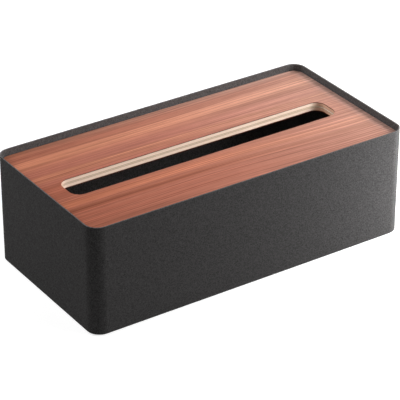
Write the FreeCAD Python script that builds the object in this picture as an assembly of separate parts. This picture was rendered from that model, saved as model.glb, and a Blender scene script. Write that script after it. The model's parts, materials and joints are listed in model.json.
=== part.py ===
"""A tissue box: a powder-coated steel shell with a plywood lid that drops inside its rim.

The shell is one strip of sheet steel, bent round four corners and welded to a shallow base pan.
Four steel brackets on the end walls carry the lid. The lid is plywood: a face veneer, three core
plies with their grain crossed, and a back veneer, all cut through by one long slot for the tissue.
It lifts straight out by the slot, to let a carton of tissues in. Four pads under the pan keep the
steel off the table.

Millimetres. +X runs along the box, +Y towards its back and +Z up. The origin is on the table,
under the middle of the box.
"""

import FreeCAD
import Part

import math
import os

Vector = FreeCAD.Vector

# Steel shell, outside
SHELL_LENGTH = 260.0
SHELL_DEPTH = 131.0
SHELL_HEIGHT = 83.0
SHELL_CORNER_RADIUS = 10.0
SHEET = 1.0
SHEET_EDGE_RADIUS = 0.3

# Base pan, a folded tray welded inside the shell
PAN_SET_UP = 1.5
PAN_FLANGE_HEIGHT = 10.0
PAN_BEND_RADIUS = 1.0
PAN_FLANGE_FROM_CORNER_BEND = 3.0

# Brackets on the end walls, which carry the lid
BRACKET_SHEET = 1.2
BRACKET_REACH = 8.0
BRACKET_DROP = 12.0
BRACKET_WIDTH = 18.0
BRACKET_BEND_RADIUS = 1.0
BRACKET_FROM_CORNER_BEND = 6.5

# Spot welds, which show as shallow round dimples
WELD_DIAMETER = 4.0
WELD_DEPTH = 0.15
WELD_PITCH_AT_MOST = 55.0
FLANGE_END_TO_WELD = 14.0
BRACKET_END_TO_WELD = 4.5

# Pads under the pan
PAD_DIAMETER = 14.0
PAD_STAND_OUT = 1.0
PAD_EDGE_RADIUS = 0.4
PAD_FROM_PAN_BEND = 6.0

# Plywood lid
LID_BELOW_RIM = 5.1
LID_SIDE_CLEARANCE = 0.5
FACE_VENEER = 0.6
LONG_PLY = 2.3
CROSS_PLY = 1.4
BACK_VENEER = 0.6
LID_ARRIS_RADIUS = 0.25

# Slot through the lid
SLOT_FROM_LID_END = 17.5
SLOT_WIDTH = 24.6
SLOT_CORNER_RADIUS = 8.0

# What follows from them
SHELL_BOTTOM = PAD_STAND_OUT
SHELL_TOP = SHELL_BOTTOM + SHELL_HEIGHT
INSIDE_LENGTH = SHELL_LENGTH - 2 * SHEET
INSIDE_DEPTH = SHELL_DEPTH - 2 * SHEET
INSIDE_CORNER_RADIUS = SHELL_CORNER_RADIUS - SHEET
PAN_BOTTOM = SHELL_BOTTOM + PAN_SET_UP
PAN_OUTER_BEND = PAN_BEND_RADIUS + SHEET
PAN_FLAT_LENGTH = INSIDE_LENGTH - 2 * PAN_OUTER_BEND
PAN_FLAT_DEPTH = INSIDE_DEPTH - 2 * PAN_OUTER_BEND
LID_LENGTH = INSIDE_LENGTH - 2 * LID_SIDE_CLEARANCE
LID_DEPTH = INSIDE_DEPTH - 2 * LID_SIDE_CLEARANCE
LID_CORNER_RADIUS = INSIDE_CORNER_RADIUS - LID_SIDE_CLEARANCE
LID_TOP = SHELL_TOP - LID_BELOW_RIM
LID_SEAT = LID_TOP - (FACE_VENEER + 2 * LONG_PLY + CROSS_PLY + BACK_VENEER)
SLOT_LENGTH = LID_LENGTH - 2 * SLOT_FROM_LID_END


def round_plate(length, depth, radius, bottom, thickness):
    """A flat plate with round corners, centred on the Z axis."""
    plate = Part.makeBox(length, depth, thickness, Vector(-length / 2, -depth / 2, bottom))
    upright = [edge for edge in plate.Edges if edge.BoundBox.ZLength > thickness / 2]
    return plate.makeFillet(radius, upright)


def edges_at(solid, height):
    """The edges that lie wholly at one height."""
    chosen = []
    for edge in solid.Edges:
        box = edge.BoundBox
        if abs(box.ZMin - height) < 1e-6 and abs(box.ZMax - height) < 1e-6:
            chosen.append(edge)
    return chosen


def bent_strip(reach, rise, sheet, bend_radius, width):
    """A strip of sheet bent to an angle. Its outer faces lie on X = 0 and Z = 0. One leg runs
    along -X by reach, the other along +Z by rise, and its width is centred on Y."""
    outer = bend_radius + sheet
    inset = 1 - math.sqrt(0.5)

    def at(x, z):
        return Vector(x, -width / 2, z)

    outer_bend = Part.Arc(at(-outer, 0), at(-outer * inset, outer * inset), at(0, outer))
    inner_bend = Part.Arc(
        at(-sheet, outer),
        at(-sheet - bend_radius * inset, sheet + bend_radius * inset),
        at(-outer, sheet),
    )
    profile = Part.Wire(
        [
            Part.LineSegment(at(-reach, 0), at(-outer, 0)).toShape(),
            outer_bend.toShape(),
            Part.LineSegment(at(0, outer), at(0, rise)).toShape(),
            Part.LineSegment(at(0, rise), at(-sheet, rise)).toShape(),
            Part.LineSegment(at(-sheet, rise), at(-sheet, outer)).toShape(),
            inner_bend.toShape(),
            Part.LineSegment(at(-outer, sheet), at(-reach, sheet)).toShape(),
            Part.LineSegment(at(-reach, sheet), at(-reach, 0)).toShape(),
        ]
    )
    return Part.Face(profile).extrude(Vector(0, width, 0))


def welded_strip(reach, rise, sheet, bend_radius, width, end_to_weld):
    """A bent strip with a row of spot welds pressed into the inside of its upright leg."""
    strip = bent_strip(reach, rise, sheet, bend_radius, width)
    run = width - 2 * end_to_weld
    gaps = max(1, math.ceil(run / WELD_PITCH_AT_MOST))
    height = (bend_radius + sheet + rise) / 2
    dimples = []
    for i in range(gaps + 1):
        middle = Vector(WELD_DEPTH - sheet, run * (i / gaps - 0.5), height)
        dimples.append(Part.makeCylinder(WELD_DIAMETER / 2, sheet, middle, Vector(-1, 0, 0)))
    return strip.cut(dimples)


def placed(solid, degrees, x=0.0, y=0.0, z=0.0):
    """A copy turned about Z and then moved."""
    copy = solid.copy()
    copy.rotate(Vector(0, 0, 0), Vector(0, 0, 1), degrees)
    copy.translate(Vector(x, y, z))
    return copy


def steel_shell():
    """The bent strip: one wall all the way round, its sharp edges rounded over by the coating."""
    outside = round_plate(SHELL_LENGTH, SHELL_DEPTH, SHELL_CORNER_RADIUS, SHELL_BOTTOM, SHELL_HEIGHT)
    inside = round_plate(INSIDE_LENGTH, INSIDE_DEPTH, INSIDE_CORNER_RADIUS, SHELL_BOTTOM, SHELL_HEIGHT)
    wall = outside.cut(inside)
    edge_radius = min(SHEET_EDGE_RADIUS, 0.45 * SHEET)
    return wall.makeFillet(edge_radius, edges_at(wall, SHELL_TOP) + edges_at(wall, SHELL_BOTTOM))


def pan_flange(inside_wall):
    """The pan's upright side along one inside wall, with the floor as far as its bend."""
    straight = inside_wall - 2 * INSIDE_CORNER_RADIUS
    return welded_strip(
        reach=2 * PAN_OUTER_BEND,
        rise=PAN_FLANGE_HEIGHT,
        sheet=SHEET,
        bend_radius=PAN_BEND_RADIUS,
        width=straight - 2 * PAN_FLANGE_FROM_CORNER_BEND,
        end_to_weld=FLANGE_END_TO_WELD,
    )


def base_pan():
    """The floor, folded up on four sides. Its corners are left open to clear the shell's bends."""
    floor = round_plate(PAN_FLAT_LENGTH, PAN_FLAT_DEPTH, INSIDE_CORNER_RADIUS, PAN_BOTTOM, SHEET)
    end = pan_flange(INSIDE_DEPTH)
    side = pan_flange(INSIDE_LENGTH)
    flanges = [
        placed(end, 0, x=INSIDE_LENGTH / 2, z=PAN_BOTTOM),
        placed(side, 90, y=INSIDE_DEPTH / 2, z=PAN_BOTTOM),
        placed(end, 180, x=-INSIDE_LENGTH / 2, z=PAN_BOTTOM),
        placed(side, 270, y=-INSIDE_DEPTH / 2, z=PAN_BOTTOM),
    ]
    return floor.fuse(flanges).removeSplitter()


def lid_bracket(side_x, side_y):
    """A bracket on an end wall, near a corner. The lid sits on its level leg, which is on top."""
    bracket = welded_strip(
        reach=BRACKET_REACH,
        rise=BRACKET_DROP,
        sheet=BRACKET_SHEET,
        bend_radius=BRACKET_BEND_RADIUS,
        width=BRACKET_WIDTH,
        end_to_weld=BRACKET_END_TO_WELD,
    )
    bracket.rotate(Vector(0, 0, 0), Vector(1, 0, 0), 180)
    straight_half = INSIDE_DEPTH / 2 - INSIDE_CORNER_RADIUS
    return placed(
        bracket,
        0 if side_x > 0 else 180,
        x=side_x * INSIDE_LENGTH / 2,
        y=side_y * (straight_half - BRACKET_FROM_CORNER_BEND - BRACKET_WIDTH / 2),
        z=LID_SEAT,
    )


def foot_pad(side_x, side_y):
    """A round pad stuck under the pan. It stands out below the shell."""
    inset = PAD_FROM_PAN_BEND + PAD_DIAMETER / 2
    middle = Vector(side_x * (PAN_FLAT_LENGTH / 2 - inset), side_y * (PAN_FLAT_DEPTH / 2 - inset), 0)
    pad = Part.makeCylinder(PAD_DIAMETER / 2, PAN_BOTTOM, middle)
    return pad.makeFillet(min(PAD_EDGE_RADIUS, 0.45 * PAN_BOTTOM), edges_at(pad, 0.0))


def lid_layer(bottom, thickness):
    """One layer of the lid, with the slot cut through it."""
    layer = round_plate(LID_LENGTH, LID_DEPTH, LID_CORNER_RADIUS, bottom, thickness)
    slot = round_plate(SLOT_LENGTH, SLOT_WIDTH, SLOT_CORNER_RADIUS, bottom, thickness)
    return layer.cut(slot)


def lid_layers():
    """The lid's layers by name, from its seat up. The top one has its sharp edges taken off."""
    stack = [
        ("lid_back_veneer", BACK_VENEER),
        ("lid_lower_ply", LONG_PLY),
        ("lid_cross_ply", CROSS_PLY),
        ("lid_upper_ply", LONG_PLY),
        ("lid_face_veneer", FACE_VENEER),
    ]
    layers = {}
    bottom = LID_SEAT
    for name, thickness in stack:
        layers[name] = lid_layer(bottom, thickness)
        bottom += thickness
    face = layers["lid_face_veneer"]
    arris = min(LID_ARRIS_RADIUS, 0.45 * FACE_VENEER)
    layers["lid_face_veneer"] = face.makeFillet(arris, edges_at(face, LID_TOP))
    return layers


def build():
    """Every piece, by its name."""
    pieces = {"steel_shell": steel_shell(), "base_pan": base_pan()}
    for x_name, side_x in (("left", -1), ("right", 1)):
        for y_name, side_y in (("front", -1), ("back", 1)):
            place = f"{y_name}_{x_name}"
            pieces[f"lid_bracket_{place}"] = lid_bracket(side_x, side_y)
            pieces[f"foot_pad_{place}"] = foot_pad(side_x, side_y)
    pieces.update(lid_layers())
    return pieces


def write(pieces):
    """One STEP file for each piece, and a line that says what it holds."""
    os.makedirs("parts", exist_ok=True)
    for name, solid in pieces.items():
        solid.exportStep(f"parts/{name}.step")
        box = solid.BoundBox
        print(
            f"{name}: {len(solid.Solids)} solid, valid {solid.isValid()}, "
            f"{solid.Volume:.1f} mm3, z {box.ZMin:.2f} to {box.ZMax:.2f}"
        )


write(build())
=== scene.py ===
# %% [markdown]
# # A steel tissue box with a drop-in plywood lid
#
# The box is a low shell of sheet steel with a fine black powder coat. A plywood panel, faced with
# reddish brown veneer, lies just inside its rim and has one long slot that tissues are drawn through.
# Every solid comes ready made from the construction model, at its real size and place, so this
# notebook gives them their finish, sets them in a plain studio and aims a camera at them.

import json
import math

import bpy
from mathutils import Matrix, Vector


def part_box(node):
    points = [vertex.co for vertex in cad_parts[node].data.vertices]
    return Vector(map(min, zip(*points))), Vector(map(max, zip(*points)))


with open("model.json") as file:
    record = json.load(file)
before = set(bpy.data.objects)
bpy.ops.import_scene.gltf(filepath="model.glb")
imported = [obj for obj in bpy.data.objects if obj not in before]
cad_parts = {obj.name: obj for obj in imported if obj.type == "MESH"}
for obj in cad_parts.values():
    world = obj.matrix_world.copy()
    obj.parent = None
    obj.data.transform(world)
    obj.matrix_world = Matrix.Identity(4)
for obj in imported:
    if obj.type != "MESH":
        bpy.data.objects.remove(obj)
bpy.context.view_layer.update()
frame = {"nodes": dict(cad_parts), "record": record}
solids = frame["nodes"]

# %% [markdown]
# ## Small helpers
#
# Colours are easiest to read as the hex values that a paint or stain chart gives, but a shader wants
# linear light, so one function turns the first into the second. Materials are networks of nodes, and
# a second function adds a node, sets it and links it in one line. The others start a material, give the
# tones of a colour ramp, and find where a point of a piece is.

# %% Colour and node helpers
MM = 0.001


def linear(hex_colour):
    """A hex sRGB colour as linear red, green, blue and alpha."""
    values = [int(hex_colour[i : i + 2], 16) / 255 for i in (1, 3, 5)]
    curve = [v / 12.92 if v <= 0.04045 else ((v + 0.055) / 1.055) ** 2.4 for v in values]
    return (*curve, 1.0)


def add_node(tree, kind, inputs=None, **settings):
    """A new node. Inputs are values, or the sockets of other nodes that feed them."""
    node = tree.nodes.new(kind)
    for name, value in settings.items():
        setattr(node, name, value)
    for name, value in (inputs or {}).items():
        if isinstance(value, bpy.types.NodeSocket):
            tree.links.new(value, node.inputs[name])
        else:
            node.inputs[name].default_value = value
    return node


def new_material(name):
    """An empty material with a surface output, and the output node."""
    material = bpy.data.materials.new(name)
    material.use_nodes = True
    material.node_tree.nodes.clear()
    return material, add_node(material.node_tree, "ShaderNodeOutputMaterial")


def set_ramp(ramp, stops):
    """Give a colour ramp its stops. Each is a position from 0 to 1 and a hex tone, in order."""
    elements = ramp.color_ramp.elements
    for i, (position, tone) in enumerate(stops):
        stop = elements[i] if i < 2 else elements.new(position)
        stop.position = position
        stop.color = linear(tone)


def millimetre_places(tree):
    """A node whose output is the point on the piece, in millimetres, moving with the piece."""
    places = add_node(tree, "ShaderNodeTexCoord")
    return add_node(
        tree,
        "ShaderNodeVectorMath",
        {0: places.outputs["Object"], "Scale": 1 / MM},
        operation="SCALE",
    ).outputs["Vector"]


print("helpers ready, white is", [round(v, 3) for v in linear("#ffffff")])

# %% [markdown]
# ## The camera
#
# The box is seen from its front left and a little above, through a long lens, so that its upright
# edges stay nearly parallel. A long lens far away is the usual choice for a product: a short one close
# by would swell the near corner.

# %% Set the camera
VIEW_AZIMUTH = math.radians(-33.71)
VIEW_ELEVATION = math.radians(29.51)
VIEW_DISTANCE = 1544.1 * MM
VIEW_SIDE_STEP = -1.42 * MM
VIEW_RISE = 30.16 * MM
PAD_STAND_OUT = 1.0 * MM
SENSOR_WIDTH = 36.0
LENS = 192.6

towards_camera = Vector(
    (
        math.sin(VIEW_AZIMUTH) * math.cos(VIEW_ELEVATION),
        -math.cos(VIEW_AZIMUTH) * math.cos(VIEW_ELEVATION),
        math.sin(VIEW_ELEVATION),
    )
)
camera_right = Vector((math.cos(VIEW_AZIMUTH), math.sin(VIEW_AZIMUTH), 0))
camera_up = towards_camera.cross(camera_right)
camera_data = bpy.data.cameras.new("camera")
camera_data.sensor_width = SENSOR_WIDTH
camera_data.lens = LENS
camera = bpy.data.objects.new("camera", camera_data)
camera.rotation_euler = towards_camera.to_track_quat("Z", "Y").to_euler()
camera.location = (
    camera_right * VIEW_SIDE_STEP
    + camera_up * VIEW_RISE
    + towards_camera * VIEW_DISTANCE
    + Vector((0, 0, PAD_STAND_OUT))
)
bpy.context.scene.collection.objects.link(camera)
bpy.context.scene.camera = camera
print("camera at", [round(v, 3) for v in camera.location])

# %% [markdown]
# ## Powder coat on steel
#
# The steel is coated with black polyester powder, sprayed on dry and baked until it flows together. It
# is a fine-texture matt grade: the film sets with a tight grain of low bumps, which scatters the light,
# so the steel looks like soft dark charcoal, not black and shiny. A colour that varies with one noise,
# and a bump from the same noise, make that grain. A picture of grain would do too, but it would have to
# be wrapped round the corners. The real grain is a quarter to half a millimetre across, too fine to
# show on the whole box, so it is drawn two to three times as coarse.
#
# The noise seldom leaves the middle two fifths of its range, so the two tones stand at the ends of those.

# %% Make the powder coat's grain
COAT_GRAIN_MM = 0.9
COAT_STOPS = [(0.3, "#232222"), (0.7, "#414040")]

powder_coat, coat_out = new_material("matt_black_powder_coated_steel")
tree = powder_coat.node_tree
place = millimetre_places(tree)
grain = add_node(
    tree,
    "ShaderNodeTexNoise",
    {"Vector": place, "Scale": 1 / COAT_GRAIN_MM, "Detail": 3.0, "Roughness": 0.7},
)
coat_colour = add_node(tree, "ShaderNodeValToRGB", {"Fac": grain.outputs["Fac"]})
set_ramp(coat_colour, COAT_STOPS)
print("the coat's grain is", COAT_GRAIN_MM, "mm across")

# %% [markdown]
# ## Painted light inside and on the rim
#
# The coat's colour is lifted in two places to paint in light. Surfaces inside the shell are made paler:
# this is painted bounce light, standing in for the light that the lid throws back onto the inner walls.
# A fine pale line along the top of the rim is a painted highlight. Both are worked out from the piece
# itself: a surface that faces the middle of the box is inside, and a height close to the top is the rim.

# %% Paint light inside the shell and on the rim
# Painted light: how much paler the coat is made inside the shell, and in the line along the rim's top.
INSIDE_PAINTED_LIGHT = 2.45
INSIDE_TURN_MM = 10.0
RIM_PAINTED_HIGHLIGHT = 3.0
RIM_HIGHLIGHT_MM = 0.3

# How far the surface's plane lies from the middle of the box: above 0 looks out, and below 0 looks in.
surface = add_node(tree, "ShaderNodeTexCoord")
outward = add_node(
    tree,
    "ShaderNodeVectorMath",
    {0: surface.outputs["Normal"], 1: place},
    operation="DOT_PRODUCT",
)
# Painted bounce light: the coat on surfaces that look inwards is made paler, by the lift set above.
inside_painted_scale = add_node(
    tree,
    "ShaderNodeMapRange",
    {
        "Value": outward.outputs["Value"],
        "From Min": -INSIDE_TURN_MM,
        "From Max": 0.0,
        "To Min": INSIDE_PAINTED_LIGHT,
        "To Max": 1.0,
    },
)
rim_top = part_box("steel_shell")[1][2] / MM
height = add_node(tree, "ShaderNodeSeparateXYZ", {"Vector": place})
# Painted highlight: the coat is made paler in a fine line along the top of the rim.
rim_highlight_scale = add_node(
    tree,
    "ShaderNodeMapRange",
    {
        "Value": height.outputs["Z"],
        "From Min": rim_top - RIM_HIGHLIGHT_MM,
        "From Max": rim_top,
        "To Min": 1.0,
        "To Max": RIM_PAINTED_HIGHLIGHT,
    },
)
coat_painted_light = add_node(
    tree,
    "ShaderNodeMath",
    {0: inside_painted_scale.outputs["Result"], 1: rim_highlight_scale.outputs["Result"]},
    operation="MULTIPLY",
)
shaded_coat = add_node(
    tree,
    "ShaderNodeVectorMath",
    {0: coat_colour.outputs["Color"], "Scale": coat_painted_light.outputs["Value"]},
    operation="SCALE",
)
print("the rim is at", round(rim_top, 1), "mm")

# %% [markdown]
# ## The coat's surface
#
# The same noise that sets the tone also raises the low bumps. Polyester has an index of 1.5, and the
# matting agent in a fine-texture powder takes nearly all of its gloss, so the specular level is close to 0.

# %% Finish the powder coat
COAT_BUMP_MM = 0.08

coat_bump = add_node(
    tree,
    "ShaderNodeBump",
    {"Height": grain.outputs["Fac"], "Distance": COAT_BUMP_MM * MM, "Strength": 1.0},
)
coat_shader = add_node(
    tree,
    "ShaderNodeBsdfPrincipled",
    {
        "Base Color": shaded_coat.outputs["Vector"],
        "Roughness": 0.5,
        "IOR": 1.5,
        "Specular IOR Level": 0.01,
        "Normal": coat_bump.outputs["Normal"],
    },
)
tree.links.new(coat_shader.outputs["BSDF"], coat_out.inputs["Surface"])
print("made", powder_coat.name)

# %% [markdown]
# ## The face veneer
#
# The lid's face is quarter-cut cherry veneer under a thin satin lacquer. Cut that way, the growth rings
# show as nearly straight stripes along the panel, orange and rose by turns, with a few dark lines where
# a season was lean. Three things make the figure: broad bands across the grain, fine lines drawn out
# along it, and short dark pores. The stripes wander and sink a little towards one end, so the point that
# they are read from is first bent by a slow curve. A wave texture could make the stripes in one node,
# but all of them would be alike, and real bands differ in width and tone.

# %% Bend the grain
BEND_FROM_MM, BEND_TO_MM = -40.0, 130.0
BEND_FRONT_Y_MM, BEND_BACK_Y_MM = -40.0, 60.0
BEND_AT_FRONT_MM, BEND_AT_BACK_MM = 9.0, -1.5
WANDER_MM = 0.5
WANDER_LENGTH_MM, WANDER_WIDTH_MM = 110.0, 14.0


def veneer_figure(tree, place):
    """The point on the panel with its Y bent, so that straight bands follow a natural figure."""
    split = add_node(tree, "ShaderNodeSeparateXYZ", {"Vector": place})
    along = add_node(
        tree,
        "ShaderNodeMapRange",
        {"Value": split.outputs["X"], "From Min": BEND_FROM_MM, "From Max": BEND_TO_MM},
        interpolation_type="SMOOTHSTEP",
    )
    across = add_node(
        tree,
        "ShaderNodeMapRange",
        {
            "Value": split.outputs["Y"],
            "From Min": BEND_FRONT_Y_MM,
            "From Max": BEND_BACK_Y_MM,
            "To Min": BEND_AT_FRONT_MM,
            "To Max": BEND_AT_BACK_MM,
        },
    )
    bend = add_node(
        tree,
        "ShaderNodeMath",
        {0: along.outputs["Result"], 1: across.outputs["Result"], 2: split.outputs["Y"]},
        operation="MULTIPLY_ADD",
    )
    stretched = add_node(
        tree,
        "ShaderNodeMapping",
        {"Vector": place, "Scale": (1 / WANDER_LENGTH_MM, 1 / WANDER_WIDTH_MM, 1 / WANDER_WIDTH_MM)},
    )
    wander = add_node(
        tree, "ShaderNodeTexNoise", {"Vector": stretched.outputs["Vector"], "Scale": 1.0, "Detail": 1.0}
    )
    shift = add_node(
        tree,
        "ShaderNodeMapRange",
        {"Value": wander.outputs["Fac"], "To Min": -WANDER_MM, "To Max": WANDER_MM},
    )
    bent_y = add_node(
        tree,
        "ShaderNodeMath",
        {0: bend.outputs["Value"], 1: shift.outputs["Result"]},
        operation="ADD",
    )
    return add_node(
        tree,
        "ShaderNodeCombineXYZ",
        {"X": split.outputs["X"], "Y": bent_y.outputs["Value"], "Z": split.outputs["Z"]},
    ).outputs["Vector"]


print("the bands sink by up to", BEND_AT_FRONT_MM, "mm and wander by", WANDER_MM, "mm")

# %% [markdown]
# ## The bands of the veneer
#
# A colour ramp read across the grain holds every band, from the front edge to the back edge. Each stop is
# a distance in millimetres from the lid's middle and the tone of the wood there. Two stops close
# together make a line, and two far apart make a slow change.

# %% Lay the bands
DARK_LINE = "#956357"
UMBER = "#a3725f"
RUSSET = "#ab7667"
ROSE = "#af7c6d"
DUSKY_ROSE = "#af7d71"
CHERRY = "#b88674"
AMBER = "#c18871"
HONEY = "#cf9a83"
BANDS = [
    (-66.0, CHERRY),
    (-53.0, ROSE),
    (-50.0, ROSE),
    (-45.0, RUSSET),
    (-42.5, ROSE),
    (-38.0, RUSSET),
    (-35.0, ROSE),
    (-32.0, RUSSET),
    (-30.6, UMBER),
    (-29.2, DARK_LINE),
    (-27.6, UMBER),
    (-25.5, ROSE),
    (-21.5, AMBER),
    (-18.0, AMBER),
    (-13.0, ROSE),
    (-3.0, RUSSET),
    (6.0, RUSSET),
    (14.0, DUSKY_ROSE),
    (17.5, CHERRY),
    (20.6, CHERRY),
    (22.0, HONEY),
    (23.6, CHERRY),
    (25.5, DUSKY_ROSE),
    (31.0, DUSKY_ROSE),
    (38.8, CHERRY),
    (41.2, HONEY),
    (46.6, HONEY),
    (49.6, CHERRY),
    (54.0, ROSE),
    # Painted light: the last stop turns paler at the back edge, to lift the strip where the back rim's
    # shadow falls.
    (66.0, HONEY),
]
BAND_REACH_MM = 66.0

veneer, veneer_out = new_material("satin_lacquered_cherry_veneer")
tree = veneer.node_tree
place = millimetre_places(tree)
figure = veneer_figure(tree, place)
figure_parts = add_node(tree, "ShaderNodeSeparateXYZ", {"Vector": figure})
across = add_node(
    tree,
    "ShaderNodeMapRange",
    {"Value": figure_parts.outputs["Y"], "From Min": -BAND_REACH_MM, "From Max": BAND_REACH_MM},
)
bands = add_node(tree, "ShaderNodeValToRGB", {"Fac": across.outputs["Result"]})
set_ramp(bands, [((y + BAND_REACH_MM) / (2 * BAND_REACH_MM), tone) for y, tone in BANDS])
print("made", veneer.name, "with", len(BANDS), "bands")

# %% [markdown]
# ## Grain lines and pores
#
# Over the bands lie finer marks, all stretched along the grain: soft streaks about two millimetres wide,
# fine lines a millimetre wide and less, and short pores, which are the cut ends of the tree's vessels. Each
# is a noise squeezed across the grain, turned to a tone a little under or over 1, and the tones multiply the
# band's colour. Real cherry pores are a tenth of a millimetre wide. They are drawn at 0.6 mm, to show.

# %% Draw the lines along the grain
# Each row: length and width in millimetres, then the tone of the darkest and of the lightest marks.
GRAIN_LINES = [
    (260.0, 2.0, 0.97, 1.03),
    (180.0, 1.0, 0.82, 1.18),
    (90.0, 0.7, 0.78, 1.2),
    (8.0, 0.6, 0.92, 1.05),
]
# The noise seldom leaves these limits, so they stand for the darkest and the lightest marks.
MARKS_LOW, MARKS_HIGH = 0.3, 0.7

grain_tone = None
for length, width, darkest, lightest in GRAIN_LINES:
    squeezed = add_node(
        tree, "ShaderNodeMapping", {"Vector": figure, "Scale": (1 / length, 1 / width, 1 / width)}
    )
    marks = add_node(
        tree,
        "ShaderNodeTexNoise",
        {"Vector": squeezed.outputs["Vector"], "Scale": 1.0, "Detail": 1.0, "Roughness": 0.5},
    )
    tone = add_node(
        tree,
        "ShaderNodeMapRange",
        {
            "Value": marks.outputs["Fac"],
            "From Min": MARKS_LOW,
            "From Max": MARKS_HIGH,
            "To Min": darkest,
            "To Max": lightest,
        },
    ).outputs["Result"]
    grain_tone = tone if grain_tone is None else add_node(
        tree, "ShaderNodeMath", {0: grain_tone, 1: tone}, operation="MULTIPLY"
    ).outputs["Value"]
print("drew", len(GRAIN_LINES), "sizes of line")

# %% [markdown]
# ## Painted sheen along the leaf
#
# The lid's colour is painted paler and pinker towards its right, and darker and redder towards its left, and
# its bands are washed flatter towards its right: a painted sheen, standing in for the light that the satin
# lacquer would throw back at that end. One mix brings in the washed tone, and a second colour ramp, read
# along the leaf, multiplies the result.

# %% Paint the sheen along the leaf
LEAF_HALF_MM = 130.0
# Painted sheen: the tones along the leaf, and the washed tone that is mixed in towards the right end.
LEAF_PAINTED_SHEEN = [(0.0, "#dfc2b3"), (0.5, "#f7e3da"), (1.0, "#ffffff")]
SHEEN_WASH_TONE, SHEEN_WASH_SHARE, SHEEN_WASH_FROM_MM = "#b88c7c", 0.7, -30.0

along = add_node(
    tree,
    "ShaderNodeMapRange",
    {"Value": figure_parts.outputs["X"], "From Min": -LEAF_HALF_MM, "From Max": LEAF_HALF_MM},
)
sheen_wash_mask = add_node(
    tree,
    "ShaderNodeMapRange",
    {
        "Value": figure_parts.outputs["X"],
        "From Min": SHEEN_WASH_FROM_MM,
        "From Max": LEAF_HALF_MM,
        "To Max": SHEEN_WASH_SHARE,
    },
)
sheen_washed = add_node(
    tree,
    "ShaderNodeMix",
    {0: sheen_wash_mask.outputs["Result"], 6: bands.outputs["Color"], 7: linear(SHEEN_WASH_TONE)},
    data_type="RGBA",
)
painted_sheen_ramp = add_node(tree, "ShaderNodeValToRGB", {"Fac": along.outputs["Result"]})
set_ramp(painted_sheen_ramp, LEAF_PAINTED_SHEEN)
with_painted_sheen = add_node(
    tree,
    "ShaderNodeVectorMath",
    {0: sheen_washed.outputs[2], 1: painted_sheen_ramp.outputs["Color"]},
    operation="MULTIPLY",
)
print("the leaf has", len(LEAF_PAINTED_SHEEN), "tones from its left to its right")

# %% [markdown]
# ## Painted light at the edges
#
# The wood is painted paler along the right end, and along the back more and more towards the right: painted
# light that lifts the strip where the rims cast their shade onto the lid. The fine lines come last, so they
# still show on the paler strip.

# %% Paint light along the edges
# Painted light: the paler tone, its share, and how far it reaches in from the right and back edges.
EDGE_PAINTED_LIGHT_TONE, EDGE_PAINTED_LIGHT_SHARE, EDGE_PAINTED_LIGHT_MM = "#e4c4ba", 0.4, 9.0

lid_right, lid_back, _ = (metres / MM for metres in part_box("lid_face_veneer")[1])
at_right, at_back = (
    add_node(
        tree,
        "ShaderNodeMapRange",
        {
            "Value": figure_parts.outputs[axis],
            "From Min": edge - EDGE_PAINTED_LIGHT_MM,
            "From Max": edge,
            "To Max": EDGE_PAINTED_LIGHT_SHARE,
        },
    )
    for axis, edge in (("X", lid_right), ("Y", lid_back))
)
back_share = add_node(
    tree,
    "ShaderNodeMath",
    {0: at_back.outputs["Result"], 1: along.outputs["Result"]},
    operation="MULTIPLY",
)
edge_light_mask = add_node(
    tree,
    "ShaderNodeMath",
    {0: at_right.outputs["Result"], 1: back_share.outputs["Value"]},
    operation="MAXIMUM",
)
# Painted light: the paler edge strip, against the rims' shadow, is mixed into the wood's colour here.
sanded = add_node(
    tree,
    "ShaderNodeMix",
    {0: edge_light_mask.outputs["Value"], 6: with_painted_sheen.outputs["Vector"], 7: linear(EDGE_PAINTED_LIGHT_TONE)},
    data_type="RGBA",
)
face_colour = add_node(
    tree,
    "ShaderNodeVectorMath",
    {0: sanded.outputs[2], "Scale": grain_tone},
    operation="SCALE",
)
# Shows the right and back edges that the painted light runs along.
print("sanded to", round(lid_right, 1), "mm on the right and", round(lid_back, 1), "mm at the back")

# %% [markdown]
# ## Cut edges and lacquer of the veneer
#
# Where the veneer is cut, at the slot and round the lid, its edge shows end grain, which soaks up lacquer
# and turns dark red-brown. The faces look up or down and the cut edges look sideways, so the slope of the
# surface tells them apart.

# %% Finish the veneer
CUT_EDGE = "#5e3020"
# How far the surface looks up or down, from 0 to 1: below the first it is a cut, above the second a face.
CUT_SLOPE, FACE_SLOPE = 0.2, 0.6
PORE_BUMP_MM = 0.03

facing = add_node(tree, "ShaderNodeTexCoord").outputs["Normal"]
slope = add_node(tree, "ShaderNodeSeparateXYZ", {"Vector": facing})
levelness = add_node(tree, "ShaderNodeMath", {0: slope.outputs["Z"]}, operation="ABSOLUTE")
is_face = add_node(
    tree,
    "ShaderNodeMapRange",
    {"Value": levelness.outputs["Value"], "From Min": CUT_SLOPE, "From Max": FACE_SLOPE},
)
veneer_colour = add_node(
    tree,
    "ShaderNodeMix",
    {0: is_face.outputs["Result"], 6: linear(CUT_EDGE), 7: face_colour.outputs["Vector"]},
    data_type="RGBA",
)
veneer_bump = add_node(
    tree,
    "ShaderNodeBump",
    {"Height": grain_tone, "Distance": PORE_BUMP_MM * MM, "Strength": 1.0},
)
# Lacquer has an index near 1.5. A satin film this thin, over open pores, keeps hardly any gloss.
veneer_shader = add_node(
    tree,
    "ShaderNodeBsdfPrincipled",
    {
        "Base Color": veneer_colour.outputs[2],
        "Roughness": 0.5,
        "IOR": 1.5,
        "Specular IOR Level": 0.002,
        "Normal": veneer_bump.outputs["Normal"],
    },
)
tree.links.new(veneer_shader.outputs["BSDF"], veneer_out.inputs["Surface"])
print("finished", veneer.name)

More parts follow.
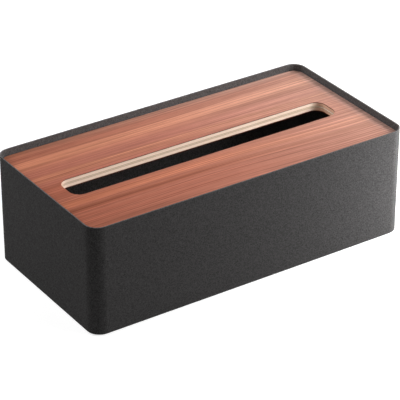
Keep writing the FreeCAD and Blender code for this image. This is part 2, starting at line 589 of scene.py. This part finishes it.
# %% [markdown]
# ## The core plies
#
# Round the slot the cut edge of the plywood is left bare and sanded. The two outer plies are birch with
# their grain along the panel, so the slot's long sides show pale long grain. The middle ply lies across,
# and shows its duller end grain there, between two thin dark lines of glue. At the slot's round ends it
# is the other way about. The glue could be solids of its own, but a real line of it is only about 0.1 mm
# high, so it is a tone at the top and the bottom of the middle ply, drawn thicker, to show.

# %% Plan the plies
PLY_LINE_LENGTH_MM, PLY_LINE_WIDTH_MM = 30.0, 0.5
PLY_BUMP_MM = 0.05
DARK_AT, PALE_AT = 0.3, 0.6
LONG_GRAIN = [(DARK_AT, "#e4cbb6"), (PALE_AT, "#f2dac8")]
OUTER_END_GRAIN = [(DARK_AT, "#d1a186"), (PALE_AT, "#e1b297")]
CROSS_END_GRAIN = [(DARK_AT, "#d0b59a"), (PALE_AT, "#e0c7ae")]
# How far the surface looks along the grain, from 0 to 1: between these, long grain turns to end grain.
LONG_UP_TO, END_FROM = 0.3, 0.8
GLUE = "#a4886e"
# The glue's tone is full up to the first depth from a face of the ply, and gone by the second.
GLUE_FULL_MM, GLUE_GONE_MM = 0.18, 0.3


def glue_share(tree, place, bottom, top):
    """1 in the two thin lines of glue at the bottom and the top of a ply, and 0 between them."""
    height = add_node(tree, "ShaderNodeSeparateXYZ", {"Vector": place})
    centred = add_node(
        tree,
        "ShaderNodeMath",
        {0: height.outputs["Z"], 1: (bottom + top) / 2},
        operation="SUBTRACT",
    )
    off_centre = add_node(tree, "ShaderNodeMath", {0: centred.outputs["Value"]}, operation="ABSOLUTE")
    half = (top - bottom) / 2
    return add_node(
        tree,
        "ShaderNodeMapRange",
        {
            "Value": off_centre.outputs["Value"],
            "From Min": half - GLUE_GONE_MM,
            "From Max": half - GLUE_FULL_MM,
        },
    ).outputs["Result"]


print("the glue lines are up to", GLUE_GONE_MM, "mm high")

# %% [markdown]
# ## Long grain and end grain
#
# A ply's lines are a noise squeezed across its grain. Birch pores are under a tenth of a millimetre wide,
# so the lines are drawn at half a millimetre, to show. One function makes both plies. It picks long grain
# or end grain by the direction that the surface faces, and the middle ply also gets its lines of glue.

# %% Make the plies
def birch_ply(name, end_grain_faces, end_grain, glued_box=None):
    """A bare sanded ply. Its end grain shows on the faces that look along X or Y."""
    material, out = new_material(name)
    tree = material.node_tree
    place = millimetre_places(tree)
    squeeze = {
        "X": (1 / PLY_LINE_LENGTH_MM, 1 / PLY_LINE_WIDTH_MM, 1 / PLY_LINE_WIDTH_MM),
        "Y": (1 / PLY_LINE_WIDTH_MM, 1 / PLY_LINE_LENGTH_MM, 1 / PLY_LINE_WIDTH_MM),
    }[end_grain_faces]
    squeezed = add_node(tree, "ShaderNodeMapping", {"Vector": place, "Scale": squeeze})
    lines = add_node(
        tree,
        "ShaderNodeTexNoise",
        {"Vector": squeezed.outputs["Vector"], "Scale": 1.0, "Detail": 3.0, "Roughness": 0.6},
    )
    long_colour, end_colour = (
        add_node(tree, "ShaderNodeValToRGB", {"Fac": lines.outputs["Fac"]}) for _ in range(2)
    )
    set_ramp(long_colour, LONG_GRAIN)
    set_ramp(end_colour, end_grain)
    normal = add_node(tree, "ShaderNodeTexCoord").outputs["Normal"]
    facing = add_node(tree, "ShaderNodeSeparateXYZ", {"Vector": normal})
    turned = add_node(tree, "ShaderNodeMath", {0: facing.outputs[end_grain_faces]}, operation="ABSOLUTE")
    is_end = add_node(
        tree,
        "ShaderNodeMapRange",
        {"Value": turned.outputs["Value"], "From Min": LONG_UP_TO, "From Max": END_FROM},
    )
    colour = add_node(
        tree,
        "ShaderNodeMix",
        {0: is_end.outputs["Result"], 6: long_colour.outputs["Color"], 7: end_colour.outputs["Color"]},
        data_type="RGBA",
    ).outputs[2]
    if glued_box:
        bottom, top = (corner[2] / MM for corner in glued_box)
        is_glue = glue_share(tree, place, bottom, top)
        colour = add_node(
            tree, "ShaderNodeMix", {0: is_glue, 6: colour, 7: linear(GLUE)}, data_type="RGBA"
        ).outputs[2]
    bump = add_node(
        tree,
        "ShaderNodeBump",
        {"Height": lines.outputs["Fac"], "Distance": PLY_BUMP_MM * MM, "Strength": 1.0},
    )
    # Bare wood has an index near 1.5 and no gloss to speak of.
    shader = add_node(
        tree,
        "ShaderNodeBsdfPrincipled",
        {
            "Base Color": colour,
            "Roughness": 0.75,
            "IOR": 1.5,
            "Specular IOR Level": 0.3,
            "Normal": bump.outputs["Normal"],
        },
    )
    tree.links.new(shader.outputs["BSDF"], out.inputs["Surface"])
    return material


long_ply = birch_ply("sanded_birch_ply_laid_along", "X", OUTER_END_GRAIN)
cross_ply = birch_ply(
    "sanded_birch_ply_laid_across", "Y", CROSS_END_GRAIN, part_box("lid_cross_ply")
)
print("made", long_ply.name, "and", cross_ply.name)

# %% [markdown]
# ## The foot pads
#
# Each pad is a disc of black nitrile rubber, punched from sheet and stuck under the pan. Rubber of this
# kind is matt and slightly grey, with a trace of the talc that keeps the sheet from sticking in the
# mould. A soft noise over two dark greys gives that bloom.

# %% Make the rubber
TALC_PATCH_MM = 1.2
RUBBER_TONES = [(0.0, "#1b1b1c"), (1.0, "#39393a")]

rubber, rubber_out = new_material("black_nitrile_rubber")
tree = rubber.node_tree
place = millimetre_places(tree)
talc = add_node(tree, "ShaderNodeTexNoise", {"Vector": place, "Scale": 1 / TALC_PATCH_MM, "Detail": 4.0})
rubber_colour = add_node(tree, "ShaderNodeValToRGB", {"Fac": talc.outputs["Fac"]})
set_ramp(rubber_colour, RUBBER_TONES)
# Nitrile rubber has an index of 1.52.
rubber_shader = add_node(
    tree,
    "ShaderNodeBsdfPrincipled",
    {"Base Color": rubber_colour.outputs["Color"], "Roughness": 0.8, "IOR": 1.52},
)
tree.links.new(rubber_shader.outputs["BSDF"], rubber_out.inputs["Surface"])
print("made", rubber.name)

# %% [markdown]
# ## Dressing the solids
#
# The construction model says what each solid is made of, so a short table from its names to the
# materials above dresses them all. Nothing is moved or reshaped: only the finish changes.

# %% Give each solid its finish
FINISH_BY_SLOT = {
    "coated_steel": powder_coat,
    "face_veneer": veneer,
    "long_grain_ply": long_ply,
    "cross_grain_ply": cross_ply,
    "pad_rubber": rubber,
}
slot_of = {part["node"]: part["material_slot"] for part in frame["record"]["subparts"]}
for name, solid in solids.items():
    for material_slot in solid.material_slots:
        material_slot.material = FINISH_BY_SLOT[slot_of[name]]
print("dressed", len(solids), "solids")

# %% [markdown]
# ## White ground, without its light
#
# The box stands on a plain pale table in a white room. Both glow only for what is seen directly, or
# mirrored in a gloss, or through glass. The light that falls on the box comes from lamps, so a white
# ground all round doesn't wash out the black coat. One function tells the two kinds of ray apart.

# %% Tell seen rays from lighting rays
WHITE = linear("#ffffff")


def seen_or_mirrored(tree):
    """1 for what the camera sees directly, in a gloss or through glass, and 0 for lighting."""
    ray = add_node(tree, "ShaderNodeLightPath")
    seen = add_node(
        tree,
        "ShaderNodeMath",
        {0: ray.outputs["Is Camera Ray"], 1: ray.outputs["Is Glossy Ray"]},
        operation="MAXIMUM",
    )
    return add_node(
        tree,
        "ShaderNodeMath",
        {0: seen.outputs["Value"], 1: ray.outputs["Is Transmission Ray"]},
        operation="MAXIMUM",
    ).outputs["Value"]


print("rays can be told apart")

# %% [markdown]
# ## The floor
#
# Near the box the floor glows a little less than white. The lamps make up the rest where they reach it,
# so the box's shadow stays. Further off little lamp light falls, and there the floor glows fully.

# %% Lay the floor
FLOOR_HALF = 6.0
FLOOR_TONE = "#bcbcbc"
GLOW_NEAR, GLOW_FAR = 0.68, 1.0
NEAR_REACH, FAR_REACH = 0.35, 1.2

floor_mesh = bpy.data.meshes.new("floor")
floor_corners = [(-1, -1), (1, -1), (1, 1), (-1, 1)]
floor_points = [(x * FLOOR_HALF, y * FLOOR_HALF, 0) for x, y in floor_corners]
floor_mesh.from_pydata(floor_points, [], [(0, 1, 2, 3)])
floor = bpy.data.objects.new("floor", floor_mesh)
bpy.context.scene.collection.objects.link(floor)

floor_finish, floor_out = new_material("pale_floor")
tree = floor_finish.node_tree
matt = add_node(tree, "ShaderNodeBsdfDiffuse", {"Color": linear(FLOOR_TONE)})
floor_place = add_node(tree, "ShaderNodeTexCoord").outputs["Object"]
from_middle = add_node(tree, "ShaderNodeVectorMath", {0: floor_place}, operation="LENGTH")
floor_glow = add_node(
    tree,
    "ShaderNodeMapRange",
    {
        "Value": from_middle.outputs["Value"],
        "From Min": NEAR_REACH,
        "From Max": FAR_REACH,
        "To Min": GLOW_NEAR,
        "To Max": GLOW_FAR,
    },
)
glow = add_node(
    tree, "ShaderNodeEmission", {"Color": WHITE, "Strength": floor_glow.outputs["Result"]}
)
bright = add_node(tree, "ShaderNodeAddShader", {0: matt.outputs["BSDF"], 1: glow.outputs["Emission"]})
floor_mix = add_node(
    tree,
    "ShaderNodeMixShader",
    {0: seen_or_mirrored(tree), 1: matt.outputs["BSDF"], 2: bright.outputs["Shader"]},
)
tree.links.new(floor_mix.outputs["Shader"], floor_out.inputs["Surface"])
floor_mesh.materials.append(floor_finish)

print("floor laid,", 2 * FLOOR_HALF, "m wide")

# %% [markdown]
# ## The room
#
# The room is the world around the floor: white where it is seen, and a dim even light on the box.

# %% Light the room
ROOM_LIGHT = 0.06

world = bpy.data.worlds.new("room")
world.use_nodes = True
bpy.context.scene.world = world
tree = world.node_tree
tree.nodes.clear()
dim = add_node(tree, "ShaderNodeBackground", {"Color": WHITE, "Strength": ROOM_LIGHT})
white = add_node(tree, "ShaderNodeBackground", {"Color": WHITE, "Strength": 1.0})
world_mix = add_node(
    tree,
    "ShaderNodeMixShader",
    {0: seen_or_mirrored(tree), 1: dim.outputs["Background"], 2: white.outputs["Background"]},
)
add_node(tree, "ShaderNodeOutputWorld", {"Surface": world_mix.outputs["Shader"]})
print("room lit at", ROOM_LIGHT)

# %% [markdown]
# ## The softboxes
#
# A softbox is a lamp behind a white cloth, so it has a face with a size, and its shadows are soft. The
# main one stands on the right, close and a little in front, and a second stands further out in front on
# the right: the long front face then darkens from right to left, and its grain shows. A small low one,
# below the lid's level, brightens the rounded right corner. One behind on the right lights the lid and
# the back. One on the left and one behind on the left keep the short side from going black. The nearest
# corner gets least, and reads as a dark edge. A weak fill stands in front on the left, where the camera
# looks from, so that the inside, seen through the slot, is dark grey and not a black hole.

# %% Hang the softboxes
# Each has a place and a width in metres, and the brightness of its face, where 1 is white.
SOFTBOXES = {
    "main_softbox": ((0.44, -0.20, 0.33), 0.33, 8.3),
    "front_softbox": ((0.60, -0.70, 0.45), 0.40, 10.6),
    "corner_softbox": ((0.228, -0.122, 0.046), 0.05, 118.0),
    "back_right_softbox": ((0.80, 0.70, 0.60), 0.50, 3.2),
    "left_softbox": ((-0.70, 0.30, 0.70), 0.50, 3.2),
    "back_left_softbox": ((-0.35, 0.55, 0.40), 0.30, 11.5),
    "fill_softbox": ((-0.50, -0.85, 0.62), 0.40, 3.4),
}
AIM_HEIGHT_MM = 45.0
AIM = Vector((0, 0, AIM_HEIGHT_MM * MM))

for name, (spot, width, brightness) in SOFTBOXES.items():
    lamp = bpy.data.lights.new(name, "AREA")
    lamp.shape = "SQUARE"
    lamp.size = width
    lamp.energy = brightness * math.pi * width**2
    softbox = bpy.data.objects.new(name, lamp)
    softbox.location = spot
    softbox.rotation_euler = (Vector(spot) - AIM).to_track_quat("Z", "Y").to_euler()
    bpy.context.scene.collection.objects.link(softbox)
    print(name, "gives", round(lamp.energy, 2), "W")

# %% [markdown]
# ## Finish
#
# The Standard view keeps colours as they are written.

# %% Finish
bpy.context.scene.view_settings.view_transform = "Standard"
